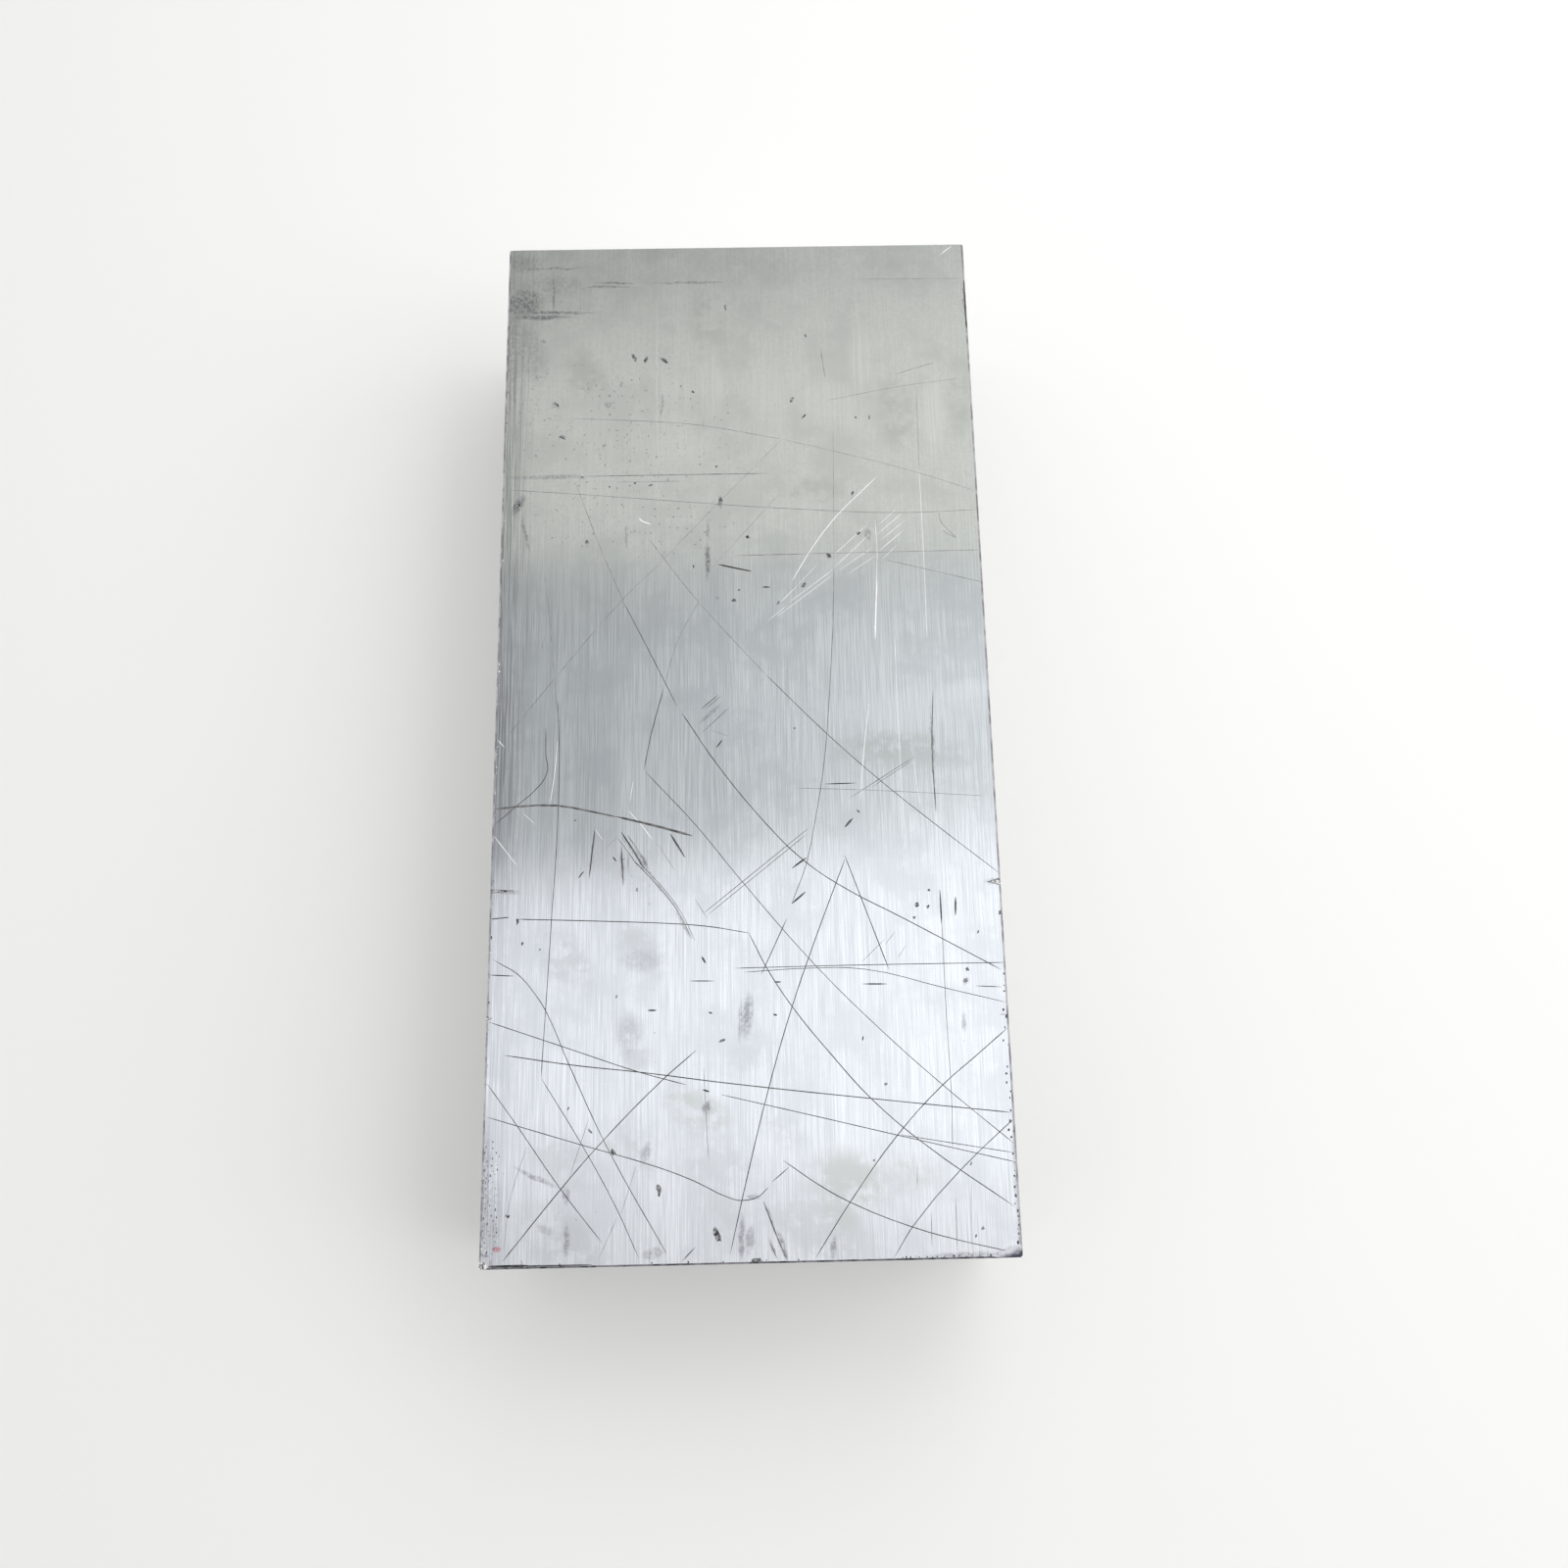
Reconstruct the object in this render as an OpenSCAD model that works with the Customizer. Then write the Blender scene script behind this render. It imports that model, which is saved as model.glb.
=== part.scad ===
// Thick aluminium plate, a sawn length of flat stock that lies on its broad face.
// +Z is up, the base lies on Z = 0 and the origin is the centre of the base.
// The grain runs along Y. The sawn ends face -Y, called near, and +Y, called far.

/* [Plate] */
// Width across the grain
plate_w = 110; // [80:1:160]
// Length along the grain, from sawn end to sawn end
plate_l = 234; // [180:1:320]
// Thickness
plate_t = 50; // [20:1:80]

/* [Edges] */
// Radius of the four long edges, as the mill leaves them
long_edge_r = 0.5; // [0.4:0.1:3]
// Leg of the filed chamfer round each sawn end
end_chamfer = 0.4; // [0.2:0.1:1.5]
// Radius of the far left upright corner, which is worn round
worn_corner_r = 1.2; // [0.8:0.1:4]

/* [Knocked corners] */
// Bruise on the near right top corner: its run along the near end
bruise_across = 7.6; // [3:0.1:15]
// The same bruise: its run along the right side
bruise_along = 2.8; // [1.5:0.1:8]
// The same bruise: its run down the upright corner
bruise_down = 0.8; // [0.6:0.1:4]
// Dent in the near left top corner: its reach along each of the two top edges
dent_reach = 2; // [1.4:0.1:4]
// The same dent: its depth down the upright corner
dent_drop = 0.7; // [0.5:0.1:1.2]

/* [Edge nicks] */
// Wide nick in the right edge: distance from the near end
wide_nick_y = 77; // [20:1:160]
// The same nick: run into the top face
wide_nick_run = 3.1; // [1:0.1:8]
// The same nick: width at the edge
wide_nick_w = 1.9; // [0.6:0.1:4]
// Long nick in the left edge: distance from the near end
long_nick_y = 77; // [20:1:160]
// The same nick: run into the top face
long_nick_run = 6.4; // [2:0.1:12]
// The same nick: width at the edge
long_nick_w = 0.9; // [0.4:0.1:3]
// Small nicks in the left edge: distances from the near end
small_nicks_y = [17, 50, 64]; // [5:1:170]
// The small nicks: run into the top face
small_nick_run = 1.3; // [0.5:0.1:4]
// The small nicks: width at the edge
small_nick_w = 1.1; // [0.4:0.1:3]

/* [Hidden] */
// Sides of a drawn circle, and how far a cutter stands proud of the faces it cuts
$fn = 64;
spare = 2;
near_y = -plate_l / 2;
far_y = plate_l / 2;
left_x = -plate_w / 2;
right_x = plate_w / 2;

// Section across the grain: a rectangle whose corners have the long edges' radius
module bar_section() {
    inner_w = plate_w - 2 * long_edge_r;
    inner_t = plate_t - 2 * long_edge_r;
    square([inner_w, plate_t], center = true);
    square([plate_w, inner_t], center = true);
    for (x = [-1, 1], z = [-1, 1]) {
        translate([x * inner_w / 2, z * inner_t / 2]) circle(r = long_edge_r);
    }
}

// The sawn length: the section run along Y, lying on its broad face
module sawn_length() {
    translate([0, 0, plate_t / 2])
        rotate([90, 0, 0])
            linear_extrude(height = plate_l, center = true) bar_section();
}

// Cutters for the filed chamfers: a square bar turned 45 degrees on each end edge
module end_chamfers() {
    bar = end_chamfer * sqrt(2);
    for (y = [near_y, far_y]) {
        for (z = [0, plate_t]) {
            translate([0, y, z])
                rotate([45, 0, 0]) cube([plate_w + 2 * spare, bar, bar], center = true);
        }
        for (x = [left_x, right_x]) {
            translate([x, y, plate_t / 2])
                rotate([0, 0, 45]) cube([bar, bar, plate_t + 2 * spare], center = true);
        }
    }
}

// Cutter for the worn upright corner: what lies outside its round in the corner's square
module worn_corner() {
    height = plate_t + 2 * spare;
    translate([left_x + worn_corner_r, far_y - worn_corner_r, -spare])
        difference() {
            translate([-worn_corner_r - spare, 0, 0])
                cube([worn_corner_r + spare, worn_corner_r + spare, height]);
            translate([0, 0, -spare]) cylinder(r = worn_corner_r, h = height + 2 * spare);
        }
}

// Cutter for the bruise: a block whose flat base passes through the three ends of its runs
module corner_bruise() {
    out = [1 / bruise_across, -1 / bruise_along, 1 / bruise_down];
    lean = acos(out.z / norm(out));
    turn = atan2(out.y, out.x);
    block = 2 * max(bruise_across, bruise_along, bruise_down);
    translate([right_x - bruise_across, near_y, plate_t])
        rotate([0, lean, turn])
            translate([-block, -block, 0]) cube([2 * block, 2 * block, block]);
}

// Cutter for the dent: a ball over the corner, a little outside both sides, that meets
// the two top edges at the reach and the upright corner at the drop
module corner_dent() {
    out = dent_reach / 4;
    rise = (dent_reach * (dent_reach + 2 * out) - pow(dent_drop, 2)) / (2 * dent_drop);
    ball_r = norm([dent_reach + out, out, rise]);
    translate([left_x - out, near_y - out, plate_t + rise]) sphere(r = ball_r);
}

// Cutter for a nick in a long edge: a cone in the top face that opens towards the side.
// side is -1 for the left edge and 1 for the right one
module edge_nick(side, along, run, width) {
    translate([side * (plate_w / 2 - run), near_y + along, plate_t])
        rotate([0, side * 90, 0]) cylinder(h = 2 * run, r1 = 0, r2 = width);
}

module edge_nicks() {
    edge_nick(1, wide_nick_y, wide_nick_run, wide_nick_w);
    edge_nick(-1, long_nick_y, long_nick_run, long_nick_w);
    for (along = small_nicks_y) edge_nick(-1, along, small_nick_run, small_nick_w);
}

// The plate: one solid, filed at its sawn ends and knocked at its edges and corners
module plate() {
    color([0.78, 0.79, 0.80])
        difference() {
            sawn_length();
            end_chamfers();
            worn_corner();
            corner_bruise();
            corner_dent();
            edge_nicks();
        }
}

plate();
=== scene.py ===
# %% [markdown]
# # A scratched aluminium plate
# The object is one piece of raw stock: a thick length of aluminium plate that lies on its broad face.
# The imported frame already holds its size, its edges and its knocks. This lesson gives it the surface
# that years on a workshop shelf have left: a mill grain, ploughed scratches, pits, smears and sawn ends.
# Everything is in metres and in the frame's own axes: +Z up, the grain along Y, the base on Z = 0.

# %% Load the frame
import math
import random

import bmesh
import bpy
from mathutils import Euler, Matrix, Vector, noise


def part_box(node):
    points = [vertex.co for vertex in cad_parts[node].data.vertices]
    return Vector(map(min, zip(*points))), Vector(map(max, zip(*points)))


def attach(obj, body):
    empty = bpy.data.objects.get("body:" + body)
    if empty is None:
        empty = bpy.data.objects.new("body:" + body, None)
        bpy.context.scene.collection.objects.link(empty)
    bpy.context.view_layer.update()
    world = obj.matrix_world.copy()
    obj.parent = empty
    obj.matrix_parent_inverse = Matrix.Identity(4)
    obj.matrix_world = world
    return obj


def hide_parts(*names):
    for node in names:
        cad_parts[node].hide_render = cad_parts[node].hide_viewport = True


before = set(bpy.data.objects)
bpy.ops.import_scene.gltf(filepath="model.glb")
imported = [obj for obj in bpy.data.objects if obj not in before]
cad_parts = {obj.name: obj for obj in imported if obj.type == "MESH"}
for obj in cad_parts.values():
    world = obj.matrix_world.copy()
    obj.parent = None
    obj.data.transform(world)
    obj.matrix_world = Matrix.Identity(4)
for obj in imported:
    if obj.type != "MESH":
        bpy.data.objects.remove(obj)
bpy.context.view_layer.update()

MM = 0.001
low, high = (Vector(corner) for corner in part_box("plate"))
size = high - low
left, near, base = low
right, far, top = high
print("plate is", [round(length / MM, 2) for length in size], "mm")

# %% [markdown]
# ## The camera
# The picture is taken by hand from above, leaning a little past the near end. The four corners of the
# top face fix the camera: a lens of 31 mm on a 36 mm frame, about 0.29 m over the face. Scratches are
# read off the picture in its own pixels, so a helper sends a pixel through the lens onto the face.

# %% Stand the camera over the plate
PHOTO_SIDE = 1600
LENS = 31.1
SENSOR = 36.0
EYE = Vector((4.9, -87.8, 338.5)) * MM
LEAN = Euler([math.radians(angle) for angle in (13.71, -0.45, -1.21)])


def new_object(name, data):
    """Puts a camera, a mesh, a lamp or a curve into the scene."""
    made = bpy.data.objects.new(name, data)
    bpy.context.scene.collection.objects.link(made)
    return made


camera_lens = bpy.data.cameras.new("camera")
camera_lens.lens = LENS
camera_lens.sensor_width = SENSOR
camera = new_object("camera", camera_lens)
camera.location = EYE
camera.rotation_euler = LEAN
bpy.context.scene.camera = camera

PIXELS_PER_LENS = PHOTO_SIDE * LENS / SENSOR


def on_top(x, y):
    """The point of the top face that shows at a pixel of the picture."""
    ray = Vector(((x - PHOTO_SIDE / 2), (PHOTO_SIDE / 2 - y), -PIXELS_PER_LENS))
    ray.rotate(LEAN)
    return EYE + ray * ((top - EYE.z) / ray.z)


pixel = (on_top(801, 800) - on_top(800, 800)).length
print("a pixel in the middle of the picture is", round(pixel / MM, 3), "mm on the top face")

# %% [markdown]
# ## Helpers for nodes
# A shader is a graph, and wiring it by hand hides what it means. This helper makes a node, sets its
# options, and fills each input with a number or with a wire from another node.

# %% Make nodes in one line


def node(tree, kind, inputs=None, **options):
    """Makes a node, with a number or a wire for each input."""
    made = tree.nodes.new(kind)
    for name, value in options.items():
        setattr(made, name, value)
    for name, value in (inputs or {}).items():
        if isinstance(value, bpy.types.NodeSocket):
            tree.links.new(value, made.inputs[name])
        else:
            made.inputs[name].default_value = value
    return made


def maths(tree, operation, first, second=0.0):
    """The result of a sum, a product or another operation."""
    return node(tree, "ShaderNodeMath", {0: first, 1: second}, operation=operation).outputs[0]


def blend(tree, share, first, second):
    """The first colour where the share is 0, the second where it is 1."""
    inputs = {0: share, 6: first, 7: second}
    return node(tree, "ShaderNodeMix", inputs, data_type="RGBA").outputs[2]


def ramp(tree, value, start, stop, low_end=0.0, high_end=1.0):
    """Eases a value from low_end at start to high_end at stop."""
    inputs = {"Value": value, "From Min": start, "From Max": stop, "To Min": low_end, "To Max": high_end}
    return node(tree, "ShaderNodeMapRange", inputs, interpolation_type="SMOOTHSTEP").outputs["Result"]


def new_material(name):
    """A material, its node tree and its shader."""
    material = bpy.data.materials.new(name)
    material.use_nodes = True
    return material, material.node_tree, material.node_tree.nodes["Principled BSDF"]


# %% [markdown]
# ## The floor
# The plate lies on a plain pale board. A large disc is enough: it keeps the plate's soft shadow and
# reaches the horizon in every view.

# %% Lay the floor
FLOOR_RADIUS = 4.0
FLOOR_GAP = 0.05 * MM
FLOOR_SIDES = 64
FLOOR_COLOUR = (0.90, 0.90, 0.88, 1)
FLOOR_ROUGHNESS = 0.9
FLOOR_SHINE = 0.2

floor_mesh = bpy.data.meshes.new("floor")
floor_shape = bmesh.new()
bmesh.ops.create_circle(floor_shape, cap_ends=True, segments=FLOOR_SIDES, radius=FLOOR_RADIUS)
bmesh.ops.translate(floor_shape, verts=floor_shape.verts, vec=(0, 0, base - FLOOR_GAP))
floor_shape.to_mesh(floor_mesh)
floor_shape.free()
floor = new_object("floor", floor_mesh)
floor_paint, tree, paint = new_material("pale_board")
paint.inputs["Base Color"].default_value = FLOOR_COLOUR
paint.inputs["Roughness"].default_value = FLOOR_ROUGHNESS
paint.inputs["Specular IOR Level"].default_value = FLOOR_SHINE
floor_mesh.materials.append(floor_paint)
print("floor radius", FLOOR_RADIUS, "m")

# %% [markdown]
# ## The room
# A metal face is mostly what it mirrors, so the room matters more than the metal's own colour. Lamps
# could make that room, but a world with soft bands gives the same picture with less noise. A ray that
# goes up is followed to a ceiling one metre up, and the place where it lands picks the light.

# %% Follow a ray to the ceiling
RIGHT_SLANT = 0.15
LEFT_SLANT = 0.09
LOWEST_RISE = 0.05
HALF_CEILING = 0.6

world = bpy.data.worlds.new("room")
bpy.context.scene.world = world
world.use_nodes = True
tree = world.node_tree
way = node(tree, "ShaderNodeTexCoord").outputs["Generated"]
heading = node(tree, "ShaderNodeSeparateXYZ", {"Vector": way}).outputs
height = maths(tree, "MAXIMUM", heading["Z"], LOWEST_RISE)
across = maths(tree, "DIVIDE", heading["X"], height)
along = maths(tree, "DIVIDE", heading["Y"], height)
right_slant = maths(tree, "MULTIPLY", across, RIGHT_SLANT)
left_slant = maths(tree, "MULTIPLY", across, LEFT_SLANT)
slanted = maths(tree, "SUBTRACT", along, maths(tree, "MAXIMUM", right_slant, left_slant))
rightness = ramp(tree, across, -HALF_CEILING, HALF_CEILING)
print("the lowest ray that is followed lands", round(1 / LOWEST_RISE), "m away")

# %% [markdown]
# The near half of the top face mirrors a wide cool light, the middle mirrors a dim gap that brightens to
# the right, and the far half mirrors a warmer, dimmer strip. A band has a colour on its left and one on its
# right. A row adds it over the bands before: what it is measured along, where it starts and where it is full.

# %% Paint the ceiling in bands
FRONT_BAND = ((0.54, 0.55, 0.58, 1), (1.12, 1.16, 1.22, 1))
NEAR_BAND = ((0.76, 0.79, 0.84, 1), (1.36, 1.42, 1.50, 1))
MIDDLE_BAND = ((0.09, 0.10, 0.11, 1), (1.17, 1.24, 1.28, 1))
DIM_BAND = ((0.14, 0.15, 0.15, 1), (0.93, 0.98, 1.00, 1))
FAR_BAND = ((0.52, 0.54, 0.50, 1), (0.82, 0.85, 0.79, 1))
END_BAND = ((0.20, 0.21, 0.20, 1), (0.75, 0.77, 0.73, 1))
BANDS = [
    (NEAR_BAND, along, -0.13, 0.02),
    (MIDDLE_BAND, slanted, 0.175, 0.21),
    (DIM_BAND, along, 0.33, 0.41),
    (FAR_BAND, along, 0.42, 0.45),
    (END_BAND, along, 0.58, 0.74),
]

ceiling = blend(tree, rightness, *FRONT_BAND)
for ends, measure, start, full in BANDS:
    band = blend(tree, rightness, *ends)
    ceiling = blend(tree, ramp(tree, measure, start, full), ceiling, band)
print("ceiling with", 1 + len(BANDS), "bands of light")

# %% [markdown]
# Low rays meet pale walls, and the side walls are the brighter ones. The floor needs no bands: its light
# comes from a plain dome that is dark on the near side. So the world has two backgrounds, and the Light
# Path node picks one: the mirrored room for rays from the camera or from a shiny face, else the dome.

# %% Add the walls and the dome
WALL = (0.83, 0.81, 0.79, 1)
SIDE_WALL = (1.06, 1.06, 1.04, 1)
DOME_LEFT = (0.84, 0.84, 0.845, 1)
DOME_RIGHT = (0.77, 0.77, 0.775, 1)
DOME_NEAR = (0.12, 0.12, 0.13, 1)
SIDE_TURN = (0.3, 0.8)
CEILING_EDGE = (0.55, 0.90)
WALL_TOP = (0.45, 0.70)
DOME_TURN = (-0.8, 0.8)
NEAR_TURN = (-0.3, -0.8)

sideways = maths(tree, "ABSOLUTE", heading["X"])
wall = blend(tree, ramp(tree, sideways, *SIDE_TURN), WALL, SIDE_WALL)
aside = maths(tree, "ABSOLUTE", across)
ceiling = blend(tree, ramp(tree, aside, *CEILING_EDGE), ceiling, wall)
mirrored = blend(tree, ramp(tree, heading["Z"], *WALL_TOP), wall, ceiling)
dome = blend(tree, ramp(tree, heading["X"], *DOME_TURN), DOME_LEFT, DOME_RIGHT)
dome = blend(tree, ramp(tree, heading["Y"], *NEAR_TURN), dome, DOME_NEAR)
ray_kind = node(tree, "ShaderNodeLightPath").outputs
seen = maths(tree, "MAXIMUM", ray_kind["Is Camera Ray"], ray_kind["Is Glossy Ray"])
seen = maths(tree, "MAXIMUM", seen, ray_kind["Is Transmission Ray"])
soft_light = node(tree, "ShaderNodeBackground", {"Color": dome}).outputs["Background"]
mirror_image = node(tree, "ShaderNodeBackground", {"Color": mirrored}).outputs["Background"]
room = node(tree, "ShaderNodeMixShader", {0: seen, 1: soft_light, 2: mirror_image}).outputs["Shader"]
tree.links.new(room, tree.nodes["World Output"].inputs["Surface"])
print("room has", len(tree.nodes), "nodes")

# %% [markdown]
# Two soft boxes give the shadow its direction: one beyond the far end and a larger one on the right. They
# are close, so the floor dims from right to left. Their energy comes from the brightness they should show.
# The metal doesn't mirror them, because the bands stand for all that it mirrors.

# %% Hang the soft boxes
SOFT_BOXES = [
    ("far_box", (0.20, 0.45, 0.65), (0, 0, 0), 0.5, 1.8),
    ("right_box", (0.72, 0.00, 0.75), (0.1, 0, 0), 0.85, 1.6),
]


def soft_box(name, centre, aim, side, glow):
    """A square lamp whose face shows the given brightness, whatever its size."""
    lamp = bpy.data.lights.new(name, "AREA")
    lamp.shape = "SQUARE"
    lamp.size = side
    lamp.energy = glow * math.pi * side * side
    box = new_object(name, lamp)
    box.location = centre
    box.rotation_euler = (Vector(aim) - Vector(centre)).to_track_quat("-Z", "Y").to_euler()
    box.visible_glossy = False
    return box


for settings in SOFT_BOXES:
    box = soft_box(*settings)
    print(box.name, "hangs at", tuple(round(part, 2) for part in box.location))

# %% [markdown]
# ## The block
# Plate stock is a plain block, and its edges tell how it was made. The mill leaves the long edges
# slightly round. The saw leaves the ends sharp, and a file takes the burr off as a narrow chamfer. One
# corner is worn round and one is bruised flat. A cube, two bevels and a few plane cuts give all of that.

# %% Bevel a cube into the plate
LONG_EDGE_RADIUS = 0.5 * MM
LONG_EDGE_STEPS = 4
END_CHAMFER = 0.4 * MM
SQUARE = 0.99

block = bmesh.new()
bmesh.ops.create_cube(block, size=1)
bmesh.ops.scale(block, verts=block.verts, vec=size)
bmesh.ops.translate(block, verts=block.verts, vec=(low + high) / 2)


def bevel(edges, width, steps):
    """Bevels edges of the block. One step gives a flat chamfer, more steps give a round."""
    bmesh.ops.bevel(
        block, geom=edges, offset=width, offset_type="OFFSET", affect="EDGES",
        segments=steps, profile=0.5, material=-1,
    )


def runs_along(edge, axis):
    """Says whether an edge lies along an axis."""
    direction = (edge.verts[1].co - edge.verts[0].co).normalized()
    return abs(direction[axis]) > SQUARE


def faces_end(face):
    """Says whether a face is one of the sawn ends."""
    return abs(face.normal.y) > SQUARE


bevel([edge for edge in block.edges if runs_along(edge, 1)], LONG_EDGE_RADIUS, LONG_EDGE_STEPS)
end_faces = [face for face in block.faces if faces_end(face)]
bevel(list({edge for face in end_faces for edge in face.edges}), END_CHAMFER, 1)
print("bevelled block has", len(block.faces), "faces")

# %% Slice off the worn and bruised corners
WORN_RADIUS = 1.2 * MM
WORN_STEPS = 8
BRUISE = Vector((7.6, 2.8, 0.8)) * MM


def slice_off(point, outward):
    """Cuts away what lies outside a plane and closes the cut."""
    everything = block.verts[:] + block.edges[:] + block.faces[:]
    cut = bmesh.ops.bisect_plane(block, geom=everything, plane_co=point, plane_no=outward, clear_outer=True)
    rim = [part for part in cut["geom_cut"] if isinstance(part, bmesh.types.BMEdge)]
    bmesh.ops.holes_fill(block, edges=rim)


worn_centre = Vector((left + WORN_RADIUS, far - WORN_RADIUS, 0))
for step in range(WORN_STEPS):
    angle = math.radians(90 * (step + 0.5) / WORN_STEPS)
    outward = Vector((-math.cos(angle), math.sin(angle), 0))
    slice_off(worn_centre + outward * WORN_RADIUS, outward)
slice_off(Vector((right - BRUISE.x, near, top)), Vector((1 / BRUISE.x, -1 / BRUISE.y, 1 / BRUISE.z)))
print("block with worn corners has", len(block.faces), "faces")

# %% [markdown]
# ## The sawn ends
# A band saw leaves a row of upright lines, one for each few teeth. They are shallow, but they catch the
# light, so they are real ridges here: each end face is sliced into strips, and the cuts are pushed in.

# %% Cut saw lines into the ends
SAW_PITCH = 1.1 * MM
SAW_DEPTH = 0.07 * MM
SAW_RIM = 0.4 * MM
SAW_LEAN = 0.03

saw_dice = random.Random(11)
for side in (-1, 1):
    this_way = [face for face in block.faces if face.normal.y * side > SQUARE]
    end = max(this_way, key=lambda face: face.calc_area())
    bmesh.ops.inset_region(block, faces=[end], thickness=SAW_RIM, use_even_offset=True)
    strips = [end] + list(end.edges) + list(end.verts)
    cuts = []
    at = left + SAW_PITCH
    while at < right - SAW_PITCH:
        stroke = Vector((1, 0, SAW_LEAN))
        cut = bmesh.ops.bisect_plane(block, geom=strips, plane_co=(at, 0, top / 2), plane_no=stroke)
        strips = cut["geom"]
        cuts.append([part for part in cut["geom_cut"] if isinstance(part, bmesh.types.BMVert)])
        at += SAW_PITCH * saw_dice.uniform(0.6, 1.3)
    for line in cuts:
        push = Vector((0, -side * SAW_DEPTH * saw_dice.uniform(0.2, 1.0), 0))
        bmesh.ops.translate(block, verts=line, vec=push)
print("sawn block has", len(block.faces), "faces")

# %% [markdown]
# ## Soft marks
# Rubbed dirt, thin films and stains have no edge and no depth, so they belong in the shader, and so do a
# few painted marks: painted shade at the near left corner and a painted reflection on the right. Each mark
# is a stretched ball round a line between two pixels: the Mapping node squeezes space until the ball has
# a radius of one, and the spherical gradient falls from one in its middle to nothing on its skin. Noise
# bends the space first, so the outlines come out ragged. Each row is x and y of the two pixels, the width
# in pixels and the strength.

# %% List the marks seen on the top face
# Two rows at the near left corner, at x 490 to 501 and y 1281 to 1295, are painted shade: the dark line where
# the near edge meets its shadow. The other rows are smears.
SMEARS_AND_CORNER_SHADE = [
    (520, 311, 541, 311, 44, 0.85), (530, 302, 548, 306, 28, 0.75), (522, 270, 548, 269, 30, 0.45),
    (520, 262, 522, 420, 36, 0.42), (528, 330, 548, 380, 50, 0.32), (516, 319, 612, 319, 6, 0.85),
    (510, 324, 588, 324, 8, 0.85), (522, 292, 600, 292, 34, 0.3), (514, 275, 600, 274, 4, 0.75),
    (604, 289, 652, 289, 4, 0.8), (590, 293, 652, 293, 4, 0.65), (655, 289, 750, 288, 4, 0.6),
    (565, 276, 565, 322, 4, 0.75), (510, 488, 610, 486, 7, 0.5), (524, 524, 534, 508, 13, 0.75),
    (531, 525, 541, 566, 5, 0.6), (722, 553, 722, 593, 8, 0.9), (722, 528, 722, 553, 4, 0.45),
    (639, 534, 640, 560, 5, 0.45), (677, 400, 674, 427, 4, 0.55), (712, 739, 736, 719, 6, 0.5),
    (634, 851, 657, 884, 6, 0.6), (649, 869, 660, 888, 11, 0.7), (657, 884, 690, 927, 6, 0.4),
    (690, 927, 705, 958, 7, 0.45), (634, 864, 636, 904, 5, 0.6), (607, 846, 601, 897, 4, 0.45),
    (949, 705, 955, 827, 4, 0.5), (765, 1016, 761, 1058, 15, 0.62), (757, 1020, 755, 1066, 7, 0.5),
    (640, 980, 665, 980, 30, 0.2), (640, 1040, 640, 1075, 28, 0.2), (577, 1212, 578, 1226, 10, 0.6),
    (578, 1248, 578, 1284, 8, 0.6), (660, 1280, 674, 1278, 14, 0.5), (662, 1168, 655, 1186, 12, 0.4),
    (763, 1222, 776, 1221, 7, 0.55), (757, 1238, 757, 1290, 8, 0.65), (767, 1250, 764, 1280, 10, 0.5),
    (523, 1191, 571, 1213, 7, 0.6), (852, 1262, 850, 1286, 7, 0.7), (722, 1126, 720, 1136, 10, 0.7),
    (780, 1226, 793, 1262, 4, 0.5), (793, 1256, 804, 1286, 7, 0.7), (785, 1264, 793, 1286, 5, 0.6),
    (984, 1033, 984, 1053, 7, 0.45), (985, 999, 985, 1002, 8, 0.6), (498, 1140, 494, 1296, 17, 0.42),
    (503, 1205, 500, 1282, 28, 0.28), (1036, 1090, 1044, 1290, 14, 0.5), (501, 1283, 501, 1295, 4, 0.8),
    (490, 1281, 500, 1282, 4, 0.8), (1014, 1283, 1043, 1275, 14, 0.42),
    (1000, 1284, 1044, 1281, 6, 0.9), (1040, 1240, 1044, 1282, 7, 0.6), (940, 1282, 1040, 1279, 8, 0.5),
    (1006, 899, 1020, 898, 9, 0.4), (503, 910, 531, 911, 6, 0.5), (548, 1251, 563, 1258, 10, 0.35),
    (566, 412, 566, 414, 9, 0.5), (620, 413, 621, 413, 10, 0.45), (634, 391, 634, 394, 6, 0.5),
    (553, 348, 556, 349, 6, 0.5), (983, 284, 987, 340, 6, 0.8), (735, 505, 735, 520, 5, 0.5),
    (885, 543, 886, 549, 10, 0.45),
]
DIM_PATCHES = [
    (782, 1140, 812, 1160, 44, 0.5), (522, 296, 556, 330, 60, 0.7), (913, 395, 913, 450, 54, 0.8),
    (805, 501, 852, 501, 40, 0.7), (978, 350, 980, 450, 34, 0.6), (720, 305, 724, 352, 60, 0.6),
    (592, 372, 602, 396, 56, 0.7), (880, 275, 960, 280, 50, 0.3), (562, 960, 592, 1000, 60, 0.8),
    (640, 955, 668, 985, 48, 0.9), (642, 1040, 652, 1095, 44, 0.8), (690, 1120, 730, 1150, 60, 0.8),
    (545, 1250, 600, 1275, 70, 0.8), (700, 1185, 760, 1190, 60, 0.6), (640, 1150, 665, 1190, 46, 0.8),
    (800, 1235, 880, 1275, 80, 0.7), (960, 600, 985, 650, 60, 0.3), (890, 760, 1000, 775, 50, 0.6),
    (560, 300, 640, 300, 100, 0.4), (690, 280, 840, 275, 60, 0.35), (550, 1170, 600, 1200, 60, 0.6),
    (720, 1215, 760, 1270, 60, 0.5), (770, 1060, 750, 1090, 40, 0.6),
]
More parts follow.
